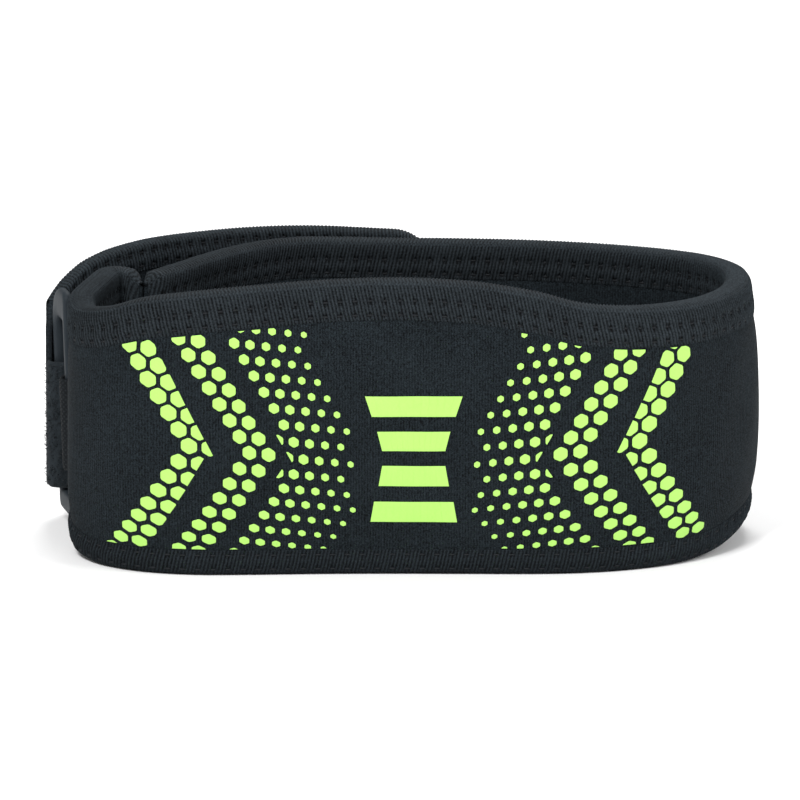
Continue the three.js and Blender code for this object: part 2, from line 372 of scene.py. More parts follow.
def knit(name, low, high, seed):
    look = Look(name)
    u, v = look.uv()
    fine = look.noise(0.3, 1.0, seed=seed)
    broad = look.noise(14.0, 3.0, seed=seed + 3)
    wale = (u + fine * 0.2).wave(WALE)
    course = (v + wale * (COURSE / 2) + fine * 0.1).wave(COURSE)
    yarn = wale * 0.65 + course * 0.35
    look.colours(yarn * 0.3 + fine * 1.9 + broad * 0.3 - 0.85, low, high)
    look.roughness(0.96 - yarn * 0.12 - broad * 0.06)
    look.bump(yarn + fine * 0.9, 0.1)
    look.set(Specular_IOR_Level=0.1)
    return look.material


cloth = knit("knit", seen(4, 6, 8), seen(39, 47, 52), 1.0)

SWELL = 0.7  # how far each face stands out between the tapes
SEAM_SWELL = 0.6  # the share of it that is left beside a tape
SEAM = 2.2  # how far from a tape the cloth still feels the seam
UNDER_TAPE = 0.4  # the swell is gone this share of the seam under a tape
FULL_AFTER = 3  # the swell is full this many seams away from a tape
PINCH = 0.06
TONGUE = 20.0  # the tongue is flat, and the swell comes in after it
TONGUE_EASE = 14.0
END_PINCH = 2.6
END_THIN = 0.35
RIPPLES = (
    {"depth": 0.12, "along": 0.21, "up": 0.09, "start": 0.0},
    {"depth": 0.08, "along": 0.47, "up": -0.17, "start": 1.3},
)


def end_ease(s):
    """How thick the strip is near its two ends, as a share, where it is pinched and sewn."""
    near = np.clip(np.minimum(s, strip.length - s) / END_PINCH, 0, 1)
    return np.maximum(END_THIN, near**0.6)


def padded_half(s, z):
    """How far the padded face stands from the middle of the wall at this height."""
    from_top = (wall_top(s) - z - TAPE_REACH) / SEAM
    from_low = (z - wall_bottom(s) - FOOT_REACH) / SEAM
    from_tape = np.minimum(from_top, from_low)
    puff = np.clip(from_tape / FULL_AFTER, 0, 1)
    rise = SEAM_SWELL + (1 - SEAM_SWELL) * (1 - (1 - puff) ** 2)
    uncovered = np.clip(1 + from_tape / UNDER_TAPE, 0, 1)
    swell = SWELL * rise * uncovered * np.clip((s - TONGUE) / TONGUE_EASE, 0, 1)
    pinch = PINCH * (np.exp(-(from_top**2)) + np.exp(-(from_low**2)))
    ripple = sum(
        each["depth"] * np.sin(s * each["along"] + z * each["up"] + each["start"])
        for each in RIPPLES
    )
    return PAD / 2 + swell - pinch + ripple * puff


def both_faces(count):
    """Shares up the outer face and down the inner one, and 1 or -1 for the face."""
    up = np.linspace(0, 1, count)
    return np.concatenate([up, up[::-1]]), np.repeat((1.0, -1.0), count)


def skin_mesh(name, grid, uv, material, closed=False, smooth=True):
    """A piece from a grid of points, round in its second direction. Open ends are capped."""
    rows, cols = grid.shape[:2]
    us, vs = uv
    i = np.arange(rows if closed else rows - 1)[:, None]
    j = np.arange(cols)[None, :]
    a = i * cols + j
    b = i * cols + (j + 1) % cols
    c = ((i + 1) % rows) * cols + (j + 1) % cols
    d = ((i + 1) % rows) * cols + j
    faces = np.stack([a, b, c, d], -1).reshape(-1, 4).tolist()
    whole = (len(i), cols, 4)
    face_u = np.broadcast_to(np.stack([us[i], us[i], us[i + 1], us[i + 1]], -1), whole)
    face_v = np.broadcast_to(np.stack([vs[j], vs[j + 1], vs[j + 1], vs[j]], -1), whole)
    loops = np.stack([face_u, face_v], -1).reshape(-1, 2)
    if not closed:
        for row, turn in ((0, 1), (rows - 1, -1)):
            faces.append(list(range(row * cols, row * cols + cols))[::-turn])
            cap = np.full((cols, 2), float(us[row]))
            cap[:, 1] = vs[:cols][::-turn]
            loops = np.vstack([loops, cap])
    mesh = bpy.data.meshes.new(name)
    mesh.from_pydata((grid.reshape(-1, 3) * MM).tolist(), [], faces)
    layer = mesh.uv_layers.new(name="UVMap")
    layer.data.foreach_set("uv", loops.astype(np.float32).ravel())
    mesh.materials.append(material)
    work = bmesh.new()
    work.from_mesh(mesh)
    bmesh.ops.recalc_face_normals(work, faces=work.faces)
    if work.calc_volume(signed=True) < 0:
        bmesh.ops.reverse_faces(work, faces=work.faces)
    work.to_mesh(mesh)
    work.free()
    if smooth:
        mesh.polygons.foreach_set("use_smooth", [True] * len(mesh.polygons))
    mesh.update()
    piece = bpy.data.objects.new(name, mesh)
    bpy.context.scene.collection.objects.link(piece)
    return piece


stations = np.linspace(0, strip.length, 640)
share, facing = both_faces(56)
S = stations[:, None]
low = wall_bottom(S) + TAPE + SEAT
high = wall_top(S) - TAPE - SEAT - END_PINCH * (1 - end_ease(S))
Z = low + (high - low) * share
pad_grid = wall_at(S, Z, facing * padded_half(S, Z) * end_ease(S))
pad_v = np.concatenate([share * HEIGHT, [0]])
pad = skin_mesh("padded_strip", pad_grid, (stations, pad_v), cloth)
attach(pad, "root")
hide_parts("front_panel")


# Edge tape. A ribbed elastic tape folded over the strip's edge and sewn through with two
# rows of stitches, which pull it in. The ribs and dimples are modelled. The fine threads
# across the ribs are drawn. The ribs' grooves and the dimples at the stitches are painted
# darker, as painted shade, and the ribs' ridges are painted lighter, as painted highlight.
RIB = 0.8
RIB_SLANT = 0.22
RIB_DEPTH = 0.15
CROSS_THREAD = 0.36
STITCH = 3.3
STITCH_ROWS = (1.2, 4.4)  # in from the tape's free edge
DIMPLE = 0.55
DIMPLE_LONG = 0.95
DIMPLE_WIDE = 0.8
END_FADE = 8.0  # ribs and dimples fade out this far from the tape's ends
PRESSED = 0.4  # how far the sewing presses the tape into the cloth
EDGE_SINK = 0.85  # the share of its thickness that the tape's free edge sinks by
FOLD_POWER = 0.72
FACE_SHARE = 0.8  # a tape's points this far out, as a share, lie on its faces
FOOT_START = 1.7  # the lower tape's stitches don't stand below the upper ones


def ribbed_tape(name, pit_shade, high):
    look = Look(name)
    u, v = look.uv()
    fuzz = look.noise(0.35, 2.0, seed=2.0)
    patch = look.noise(9.0, 2.0, seed=7.0)
    thread = (v + fuzz * 0.1).wave(CROSS_THREAD)
    # Painted light and shade: the ribs' ridges are coloured lighter and their grooves darker.
    rib_light_and_shade = (u + v * RIB_SLANT + fuzz * 0.15).wave(RIB)
    near_rows = 0.0
    for row in STITCH_ROWS:
        off = v - row
        near_rows = (1 - off * off).clamp() + near_rows
    # Painted shade: the stitch dimples are coloured darker, by the share given for each tape.
    pit_shade_mask = u.wave(STITCH).power(5.0) * near_rows * (patch * 1.8 - 0.1).clamp()
    shade = rib_light_and_shade * 0.5 + thread * 0.15 + fuzz * 1.3 + patch * 0.3 - 0.76 - pit_shade_mask * pit_shade
    look.colours(shade, seen(7, 9, 11), high)
    look.roughness(0.9 - thread * 0.12)
    look.bump(thread * 0.5 + fuzz * 0.7, 0.06)
    look.set(Specular_IOR_Level=0.1)
    return look.material


tape_material = ribbed_tape("ribbed_tape", 0.6, seen(52, 59, 64))
# The lower tape is a darker copy of the same tape: painted shade for its place low down and facing
# the floor, with fainter painted shade in its stitch dimples.
shaded_foot_tape_material = ribbed_tape("ribbed_foot_tape_painted_shade", 0.15, seen(42, 49, 54))


def squarer(wave, power):
    """A sine or cosine with its shoulders pushed out, which makes a round squarer."""
    return np.sign(wave) * np.abs(wave) ** power


def tape_profile(half, tape, reach):
    """Points in from the edge and across, outside first, then back along the inside."""
    out = half + SEAT + tape
    inside = half + SEAT
    bend = min(out * 0.9, reach * 0.6)
    legs = np.linspace(reach, bend, 13)[:-1]
    angle = np.linspace(0, math.pi, 19)
    fold_in = bend * (1 - squarer(np.sin(angle), FOLD_POWER))
    fold_across = out * squarer(np.cos(angle), FOLD_POWER)
    back = np.array((-inside + 0.1, -inside, inside, inside - 0.1))
    m = np.concatenate([legs, fold_in, legs[::-1], [reach, tape, tape, reach]])
    n = np.concatenate([legs * 0 + out, fold_across, legs * 0 - out, back])
    sink = np.exp(-((m - reach) ** 2)) * (np.abs(n) > inside)
    n = n - np.sign(n) * sink * tape * EDGE_SINK
    return m, n, len(m) - len(back)


def tape_mesh(name, s, place, profile, material, phase=0.0):
    """Sweeps a tape's section along an edge, with its ribs and stitch dimples."""
    m, n, ribbed = profile
    inward, across = (np.tile(each, (len(s), 1)) for each in (m, n))
    m, n = m[:ribbed], n[:ribbed]
    dm, dn = np.gradient(m), np.gradient(n)
    size = np.hypot(dm, dn)
    run = np.concatenate([[0], np.cumsum(np.hypot(np.diff(m), np.diff(n)))])
    v = np.minimum(run, run[-1] - run)
    u = s[:, None] + phase
    lift = RIB_DEPTH * np.cos(2 * math.pi * (u + RIB_SLANT * v) / RIB)
    from_stitch = (u - STITCH * np.round(u / STITCH)) / DIMPLE_LONG
    on_face = np.abs(n) > FACE_SHARE * np.abs(n).max()
    for row in STITCH_ROWS:
        from_row = (m - m.max() + row) / DIMPLE_WIDE
        lift = lift - DIMPLE * on_face * np.exp(-(from_stitch**2) - from_row**2)
    lift = lift * np.clip(np.minimum(s, s[-1] - s) / END_FADE, 0, 1)[:, None]
    inward[:, :ribbed] += lift * dn / size
    across[:, :ribbed] -= lift * dm / size
    v = np.concatenate([v, np.arange(1, 6) * -0.5])
    return skin_mesh(name, place(s, inward, across), (s + phase, v), material)


def top_edge(s, m, n):
    """Down from the upper edge, which dips where the strip's ends are pinched."""
    s = s[:, None]
    dip = (END_PINCH - SEAT) * (1 - end_ease(s))
    return wall_at(s, wall_top(s) - m - dip, n * end_ease(s))


def foot_edge(s, m, n):
    """Up from the lower edge, and never below the floor."""
    s = s[:, None]
    return wall_at(s, np.maximum(0, wall_bottom(s) + m), n * end_ease(s))


edge_stations = np.arange(0, strip.length, RIB / 4)
top_profile = tape_profile(PAD / 2, TAPE - PRESSED, TAPE_REACH)
top_tape = tape_mesh("top_tape", edge_stations, top_edge, top_profile, tape_material)
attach(top_tape, "root")
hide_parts("top_binding")

foot_profile = tape_profile(PAD / 2, TAPE - PRESSED, FOOT_REACH)
foot_tape = tape_mesh(
    "foot_tape", edge_stations, foot_edge, foot_profile, shaded_foot_tape_material, phase=FOOT_START
)
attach(foot_tape, "root")
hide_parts("bottom_binding")


# Closing strap. A thinner padded band from the ring round the outside of the rear wall,
# with a rounded free end. A thin tape like the strip's binds its top, free end and bottom.
STRAP = 2.6
THIN_TAPE = 0.6
THIN_REACH = 6.5
END_ROUND = 9.0
TAPE_START = 4.2  # where the tape begins after the ring
BULGE = 0.3
BULGE_EASE = 12.0

# x, y, top, bottom and half thickness, from the ring to the free end
CLOSING = (
    (-78.35, 10.9, 45.8, 8.4, 0.7),
    (-77.7, 14.4, 49.8, 8.2, 1),
    (-74.7, 17.9, 53.8, 7.4, 1.3),
    (-70.7, 20.9, 57, 6.4, 1.3),
    (-65.5, 24.6, 58.9, 5.6, 1.3),
    (-58.7, 29.9, 59.8, 5.2, 1.3),
    (-52.2, 34.6, 60, 5, 1.3),
    (-43.6, 39.3, 60, 5, 1.3),
    (-35, 42.7, 60, 5, 1.3),
    (-26.5, 44.4, 60, 5, 1.3),
    (-17.8, 44.3, 60, 5, 1.3),
    (-9.4, 42.7, 60, 5, 1.3),
    (-2, 41.2, 60, 5, 1.3),
    (7.4, 40.8, 60, 5, 1.3),
)

closing = Line(CLOSING, -1)


def closing_at(s, z, across):
    s, z, across = np.broadcast_arrays(np.asarray(s, float), z, across)
    return np.concatenate([closing.place(s, across), z[..., None]], -1)


def closing_half(s):
    return closing.column(s, 2)


lining = knit("strap_knit", seen(5, 7, 9), seen(41, 48, 53), 5.0)
strap_inset = THIN_TAPE + SEAT
strap_round = END_ROUND - strap_inset
strap_end = closing.length - strap_inset
bend_at = strap_end - strap_round
corner = bend_at + strap_round * np.sin(np.linspace(0, math.pi / 2, 14))
s = np.concatenate([np.arange(0, bend_at, 0.5), corner])
past = np.clip(s - bend_at, 0, strap_round)
cut = strap_round - np.sqrt(np.maximum(0, strap_round**2 - past**2))
low = (closing.column(s, 1) + strap_inset + cut)[:, None]
high = (closing.column(s, 0) - strap_inset - cut)[:, None]
share, facing = both_faces(60)
Z = low + (high - low) * share
S = s[:, None]
bulge = BULGE * np.sin(math.pi * share) ** 0.6 * np.minimum(1, S / BULGE_EASE)
strap_grid = closing_at(S, Z, facing * (closing_half(S) + bulge))
strap_v = np.concatenate([share * HEIGHT, [0]])
strap = skin_mesh("closing_strap", strap_grid, (s, strap_v), lining)
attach(strap, "root")
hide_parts("outer_strap")

# the tape's edge: along the top, down round the free end and back along the bottom
bend_at = closing.length - END_ROUND
along = np.arange(TAPE_START, bend_at, RIB / 4)
turn = np.linspace(0, math.pi / 2, 76)[1:]
end_top = closing.column(closing.length, 0)
end_low = closing.column(closing.length, 1)
rise = np.arange(end_low + END_ROUND, end_top - END_ROUND, RIB / 4)[::-1]
edge_s = np.concatenate(
    [
        along,
        bend_at + END_ROUND * np.sin(turn),
        rise * 0 + closing.length,
        bend_at + END_ROUND * np.sin(turn[::-1]),
        along[::-1],
    ]
)
edge_z = np.concatenate(
    [
        closing.column(along, 0),
        end_top - END_ROUND * (1 - np.cos(turn)),
        rise,
        end_low + END_ROUND * (1 - np.cos(turn[::-1])),
        closing.column(along[::-1], 1),
    ]
)
edge_in_s = np.concatenate(
    [along * 0, -np.sin(turn), rise * 0 - 1, -np.sin(turn[::-1]), along * 0]
)
edge_in_z = np.concatenate(
    [along * 0 - 1, -np.cos(turn), rise * 0, np.cos(turn[::-1]), along * 0 + 1]
)
edge_run = np.concatenate([[0], np.cumsum(np.hypot(np.diff(edge_s), np.diff(edge_z)))])


def strap_edge(_run, m, n):
    """In from the closing strap's edge, which the tape follows all round."""
    half = closing_half(edge_s)[:, None]
    across = n + np.sign(n) * (half - STRAP / 2)
    return closing_at(
        edge_s[:, None] + m * edge_in_s[:, None], edge_z[:, None] + m * edge_in_z[:, None], across
    )


thin_profile = tape_profile(STRAP / 2, THIN_TAPE, THIN_REACH)
strap_tape = tape_mesh("strap_tape", edge_run, strap_edge, thin_profile, tape_material)
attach(strap_tape, "root")
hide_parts("outer_binding")


# Stitches. Dark sewing thread through both faces of each tape. One short thread with sunk
# ends is modelled once, and a Geometry Nodes tree sets it at every point of a points mesh,
# turned by the point's own attribute.
STITCH_LONG = 1.7
STITCH_THICK = 0.42
NO_STITCH = 5.0  # at the ends of the strip's tapes
STRAP_START = 12.0  # where the stitches of the closing strap's tape begin
STRAP_STOP = 10.0  # and how far before its end they stop

thread_look = Look("sewing_thread")
thread_grain = thread_look.noise(0.25, 2.0, seed=4.0)
thread_look.colours(thread_grain, seen(10, 12, 14), seen(34, 38, 42))
thread_look.roughness(0.75 - thread_grain * 0.25)
thread_look.bump(thread_grain, 0.03)
thread_look.set(Specular_IOR_Level=0.2)


def stitch_form(name, length, width):
    """One stitch: a small oval thread whose ends bend down into the tape."""
    rings, sides = 6, 10

    def point(i, k):
        swell = math.sin(math.pi * i / rings) / 2
        z = math.cos(math.pi * i / rings) / 2
        a = 2 * math.pi * (k / sides + 0.25)
        height = 0.8 * swell * math.sin(a) - z**2
        return Vector((z * length, swell * math.cos(a) * width, height * width)) * MM

    verts = [point(0, 0), point(rings, 0)]
    verts += [point(i, k) for i in range(1, rings) for k in range(sides)]
    faces = []
    for k in range(sides):
        a, b = 2 + k, 2 + (k + 1) % sides
        faces.append((0, a, b))
        for i in range(rings - 2):
            low = i * sides
            faces.append((a + low, a + low + sides, b + low + sides, b + low))
        end = (rings - 2) * sides
        faces.append((1, b + end, a + end))
    mesh = bpy.data.meshes.new(name)
    mesh.from_pydata(verts, [], faces)
    return bpy.data.objects.new(name, mesh)


def turned_to(along, out):
    """Euler angles that turn X along the first direction and Z along the second."""
    x = along / np.linalg.norm(along, axis=-1, keepdims=True)
    z = out - (out * x).sum(-1, keepdims=True) * x
    z /= np.linalg.norm(z, axis=-1, keepdims=True)
    y = np.cross(z, x)
    pitch = -np.arcsin(np.clip(x[:, 2], -1, 1))
    roll = np.arctan2(y[:, 2], z[:, 2])
    yaw = np.arctan2(x[:, 1], x[:, 0])
    return np.stack([roll, pitch, yaw], -1)


def scatter_tree():
    """Geometry Nodes: the form on every point, by the attributes turn and size."""
    tree = bpy.data.node_groups.new("set_on_points", "GeometryNodeTree")
    face = tree.interface
    face.new_socket("Points", in_out="INPUT", socket_type="NodeSocketGeometry")
    form = face.new_socket("Form", in_out="INPUT", socket_type="NodeSocketObject")
    look = face.new_socket("Look", in_out="INPUT", socket_type="NodeSocketMaterial")
    face.new_socket("Geometry", in_out="OUTPUT", socket_type="NodeSocketGeometry")
    start = tree.nodes.new("NodeGroupInput")
    end = tree.nodes.new("NodeGroupOutput")
    to_points = tree.nodes.new("GeometryNodeMeshToPoints")
    read = tree.nodes.new("GeometryNodeObjectInfo")
    put = tree.nodes.new("GeometryNodeInstanceOnPoints")
    turn = tree.nodes.new("GeometryNodeInputNamedAttribute")
    turn.data_type = "FLOAT_VECTOR"
    turn.inputs["Name"].default_value = "turn"
    size = tree.nodes.new("GeometryNodeInputNamedAttribute")
    size.data_type = "FLOAT_VECTOR"
    size.inputs["Name"].default_value = "size"
    real = tree.nodes.new("GeometryNodeRealizeInstances")
    dress = tree.nodes.new("GeometryNodeSetMaterial")
    link = tree.links.new
    link(start.outputs["Points"], to_points.inputs["Mesh"])
    link(start.outputs["Form"], read.inputs["Object"])
    link(to_points.outputs["Points"], put.inputs["Points"])
    link(read.outputs["Geometry"], put.inputs["Instance"])
    link(turn.outputs["Attribute"], put.inputs["Rotation"])
    link(size.outputs["Attribute"], put.inputs["Scale"])
    link(put.outputs["Instances"], real.inputs["Geometry"])
    link(real.outputs["Geometry"], dress.inputs["Geometry"])
    link(start.outputs["Look"], dress.inputs["Material"])
    link(dress.outputs["Geometry"], end.inputs["Geometry"])
    return tree, form.identifier, look.identifier


SCATTER, FORM_INPUT, LOOK_INPUT = scatter_tree()


def scatter(name, form, points, turns, sizes, material):
    """A plain mesh piece: the form set on every point."""
    mesh = bpy.data.meshes.new(name + "_points")
    mesh.from_pydata((points * MM).tolist(), [], [])
    for key, values in (("turn", turns), ("size", sizes)):
        layer = mesh.attributes.new(key, "FLOAT_VECTOR", "POINT")
        layer.data.foreach_set("vector", np.asarray(values, np.float32).ravel())
    carrier = bpy.data.objects.new(name + "_points", mesh)
    bpy.context.scene.collection.objects.link(carrier)
    bpy.context.scene.collection.objects.link(form)
    step = carrier.modifiers.new("set", "NODES")
    step.node_group = SCATTER
    step[FORM_INPUT] = form
    step[LOOK_INPUT] = material
    bpy.context.view_layer.update()
    reader = bpy.context.evaluated_depsgraph_get()
    made = bpy.data.meshes.new_from_object(carrier.evaluated_get(reader))
    bpy.data.objects.remove(carrier)
    bpy.data.objects.remove(form)
    made.polygons.foreach_set("use_smooth", [True] * len(made.polygons))
    piece = bpy.data.objects.new(name, made)
    bpy.context.scene.collection.objects.link(piece)
    return piece


def edge_stitches(name, length, reach, out, at, phase=0.0, start=NO_STITCH):
    """Two rows of stitches on each face of a tape, sunk in its dimples."""
    k = np.arange(math.ceil((start + phase) / STITCH), math.floor((length + phase) / STITCH))
    s = k * STITCH - phase
    points, ways, outs = [], [], []
    for row in STITCH_ROWS:
        for face in (1, -1):
            m = reach - row
            points.append(at(s, m, face * (out - DIMPLE + 0.05)))
            ways.append(at(s + 0.2, m, face * out) - at(s - 0.2, m, face * out))
            outs.append(at(s, m, face * (out + 1)) - at(s, m, face * out))
    points, ways, outs = (np.vstack(each) for each in (points, ways, outs))
    form = stitch_form(name + "_form", STITCH_LONG, STITCH_THICK)
    sizes = np.ones_like(points)
    return scatter(name, form, points, turned_to(ways, outs), sizes, thread_look.material)


tape_out = PAD / 2 + SEAT + TAPE - PRESSED
top_stitches = edge_stitches(
    "top_stitches",
    strip.length - NO_STITCH,
    TAPE_REACH,
    tape_out,
    lambda s, m, n: wall_at(s, wall_top(s) - m, n),
)
foot_stitches = edge_stitches(
    "foot_stitches",
    strip.length - NO_STITCH,
    FOOT_REACH,
    tape_out,
    lambda s, m, n: wall_at(s, wall_bottom(s) + m, n),
    phase=FOOT_START,
)
strap_out = STRAP / 2 + SEAT + THIN_TAPE


def on_strap_edge(run, m, n):
    """A point on the closing strap's tape, this far along its edge."""
    s = np.interp(run, edge_run, edge_s) + m * np.interp(run, edge_run, edge_in_s)
    z = np.interp(run, edge_run, edge_z) + m * np.interp(run, edge_run, edge_in_z)
    return closing_at(s, z, n)


strap_stitches = edge_stitches(
    "strap_stitches",
    edge_run[-1] - STRAP_STOP,
    THIN_REACH,
    strap_out,
    on_strap_edge,
    start=STRAP_START,
)
for piece in (top_stitches, foot_stitches, strap_stitches):
    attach(piece, "root")


# Print. A raised silicone print on the outer face: four bars on the middle line, and on
# each side of it chevrons and a field of hexagons that shrink towards the middle. It is
# drawn on the flat cloth, in millimetres from the middle line and up from the lower edge.
# A layer of a shape is its share of the full size and how far it stands off the cloth.
MIDDLE_X = 2.9
in_front = strip.plan[:, 1] < -20
PRINT_MIDDLE = float(np.interp(MIDDLE_X, strip.plan[in_front, 0], strip.s[in_front]))
PRINT_RISE = 0.12
PRINT_ROOT = 0.1  # how far each shape goes down into the cloth
PRINT_LAYERS = ((1.0, -PRINT_ROOT), (1.0, PRINT_RISE * 0.7), (0.955, PRINT_RISE))
PRINT_LEAST = 0.2  # the smallest area that is printed
PRINT_TOP_GAP = 0.35
PRINT_LOW_GAP = 0.3
CORNER_CUT = 0.14  # the share of a hexagon's side that is trimmed at each corner
CHEVRON_HEIGHT = 28.6  # of the chevrons' points above the floor
ROW = 3.68  # between rows of hexagons
ROWS = 8  # above the points, and as many below
ROW_SHIFT = 2.17  # how much further out each row stands than the one nearer the point
ROW_TILT = 0.12  # the rows rise outwards by this share
LOW_SQUEEZE = 0.0058  # the rows crowd near the foot, where the cloth curves under

# Each band of hexagons: distance of its columns from the middle line at the chevron's
# point, how far a hexagon reaches across, the straight inner edge that cuts it, as its
# distance at the point and its slope, and how much higher the band's point sits.
BANDS = (
    {"columns": (49.3, 45.0), "across": 3.35, "cut": (45.1, 0.5), "rise": 0.9},
    {"columns": (36.4, 32.2), "across": 2.95, "cut": (30.2, 0.53), "rise": -0.6},
)

# The field of dots: its outermost column, the step between columns, the slanted edge that
# cuts it, as above, its inner edge as rows of height and distance, the size of its outer
# and inner dots, and how much lower than the chevrons' points its own point sits.
FIELD_FIRST = 28.0
FIELD_PITCH = 3.5
FIELD_COLUMNS = 12
FIELD_CUT = (27.6, 0.6)
FIELD_EDGE = ((-24.0, 20.8), (-12.0, 13.0), (9.0, 12.8), (28.0, 23.8))
FIELD_SIZE = (2.4, 1.25)
FIELD_RISE = -2.9

# The bars on the middle line, from the top one down.
BARS = (
    {"top": 40.8, "low": 36.2, "half_top": 10.8, "half_low": 9.3},
    {"top": 32.8, "low": 28.4, "half_top": 8.1, "half_low": 7.0},
    {"top": 25.0, "low": 20.4, "half_top": 7.0, "half_low": 7.8},
    {"top": 16.8, "low": 12.2, "half_top": 8.8, "half_low": 9.6},
)


def clipped(shape, a, b):
    """The part of a convex shape on the left of the line from a to b."""

    def side(p):
        return (b[0] - a[0]) * (p[1] - a[1]) - (b[1] - a[1]) * (p[0] - a[0])

    kept = []
    for p, q in zip(shape, shape[1:] + shape[:1]):
        sp, sq = side(p), side(q)
        if sp >= 0:
            kept.append(p)
        if sp * sq < 0:
            t = sp / (sp - sq)
            kept.append((p[0] + t * (q[0] - p[0]), p[1] + t * (q[1] - p[1])))
    return kept


def area_of(shape):
    """The shape's area, counter-clockwise."""
    return 0.5 * sum(p[0] * q[1] - q[0] * p[1] for p, q in zip(shape, shape[1:] + shape[:1]))


def hexagon(x, v, across):
    """A hexagon with trimmed corners, pointed up and down, this far across its flats."""
    corners = [
        (x + across / math.sqrt(3) * math.sin(a), v - across / math.sqrt(3) * math.cos(a))
        for a in (math.pi / 3 * k for k in range(6))
    ]
    trimmed = []
    for p, q in zip(corners, corners[1:] + corners[:1]):
        for t in (CORNER_CUT, 1 - CORNER_CUT):
            trimmed.append((p[0] + t * (q[0] - p[0]), p[1] + t * (q[1] - p[1])))
    return trimmed


def height_of(v):
    """Height on the wall of a place on the flat cloth, which curls under near the foot."""
    return CHEVRON_HEIGHT + v + (LOW_SQUEEZE * v * v if v < 0 else 0)


def print_shapes():
    """Flat shapes of one side, counter-clockwise: distance from the middle, and up."""
    shapes = []

    def add(x, v, across, cut, outer_part, pivot, rise):
        """A hexagon cut by a slanted edge, kept if enough of it is left."""
        whole = hexagon(x, v, across)
        reach = 40.0 if v >= 0 else -40.0
        a, b = (cut[0], 0.0), (cut[0] + abs(reach) * cut[1], reach)
        shape = clipped(whole, b, a) if outer_part == (v >= 0) else clipped(whole, a, b)
        least = 0.25 if outer_part or abs(v) < 6 else 0.6
        if shape and area_of(shape) > least * area_of(whole):
            shapes.append([(x, height_of(v) + rise + ROW_TILT * (x - pivot)) for x, v in shape])

    for row in range(-ROWS, ROWS + 1):
        v = row * ROW
        out = abs(row) * ROW_SHIFT
        for chevron in BANDS:
            pivot = sum(chevron["columns"]) / 2 + out
            for x in chevron["columns"]:
                add(x + out, v, chevron["across"], chevron["cut"], True, pivot, chevron["rise"])
        edge = np.interp(v, [p[0] for p in FIELD_EDGE], [p[1] for p in FIELD_EDGE])
        outer = FIELD_CUT[0] + FIELD_CUT[1] * abs(v)
        for k in range(FIELD_COLUMNS):
            x = FIELD_FIRST - k * FIELD_PITCH + out
            if x >= edge + 0.4:
                share = min(1, max(0, (outer - x) / (outer - edge)))
                across = FIELD_SIZE[0] + (FIELD_SIZE[1] - FIELD_SIZE[0]) * share
                add(x, v, across, FIELD_CUT, False, edge + 4, FIELD_RISE)
    return shapes


def print_mesh():
    """Every shape of both sides and the bars, cut at the tapes and laid on the cloth."""
    flat = []
    for shape in print_shapes():
        flat.append(shape)
        flat.append([(-x, z) for x, z in reversed(shape)])
    cuts = np.linspace(-1, 1, 13)
    for bar in BARS:
        for a, b in zip(cuts, cuts[1:]):
            foot = [(a * bar["half_low"], bar["low"]), (b * bar["half_low"], bar["low"])]
            head = [(b * bar["half_top"], bar["top"]), (a * bar["half_top"], bar["top"])]
            flat.append(foot + head)
    work = bmesh.new()

    def put(x, z, rise):
        at = PRINT_MIDDLE + x
        place = wall_at(at, z, padded_half(at, z) + rise)
        return work.verts.new(Vector(place.tolist()) * MM)

    for shape in flat:
        middle = sum(p[0] for p in shape) / len(shape)
        top = wall_top(PRINT_MIDDLE + middle) - TAPE_REACH - PRINT_TOP_GAP
        slope = wall_top(PRINT_MIDDLE + middle + 2) - wall_top(PRINT_MIDDLE + middle - 2)
        low = wall_bottom(PRINT_MIDDLE + middle) + FOOT_REACH + PRINT_LOW_GAP
        a, b = (middle - 2, top - slope / 2), (middle + 2, top + slope / 2)
        shape = clipped(shape, b, a)
        shape = clipped(shape, (0, low), (1, low)) if shape else shape
        if not shape or area_of(shape) < PRINT_LEAST:
            continue
        cx = sum(p[0] for p in shape) / len(shape)
        cz = sum(p[1] for p in shape) / len(shape)
        rings = [
            [put(cx + (x - cx) * keep, cz + (z - cz) * keep, rise) for x, z in shape]
            for keep, rise in PRINT_LAYERS
        ]
        count = len(shape)
        for lower, upper in zip(rings, rings[1:]):
            for i in range(count):
                j = (i + 1) % count
                work.faces.new((lower[i], lower[j], upper[j], upper[i]))
        crown = put(cx, cz, PRINT_RISE * 1.05)
        root = put(cx, cz, -PRINT_ROOT)
        for i in range(count):
            j = (i + 1) % count
            work.faces.new((rings[-1][i], rings[-1][j], crown))
            work.faces.new((rings[0][j], rings[0][i], root))
    bmesh.ops.recalc_face_normals(work, faces=work.faces)
    mesh = bpy.data.meshes.new("print")
    work.to_mesh(mesh)
    work.free()
    return mesh


print_look = Look("silicone_print")
speck = print_look.noise(0.45, 3.0, seed=9.0)
cloud = print_look.noise(7.0, 2.0, seed=11.0)
print_look.colours(speck * 0.6 + cloud * 0.4, seen(160, 216, 94), seen(182, 232, 116))
print_look.roughness(0.5 + speck * 0.2)
print_look.bump(speck + cloud, 0.04)
print_look.set(Specular_IOR_Level=0.4)
print_form = print_mesh()
print_form.materials.append(print_look.material)
silicone = bpy.data.objects.new("silicone_print", print_form)
bpy.context.scene.collection.objects.link(silicone)
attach(silicone, "root")


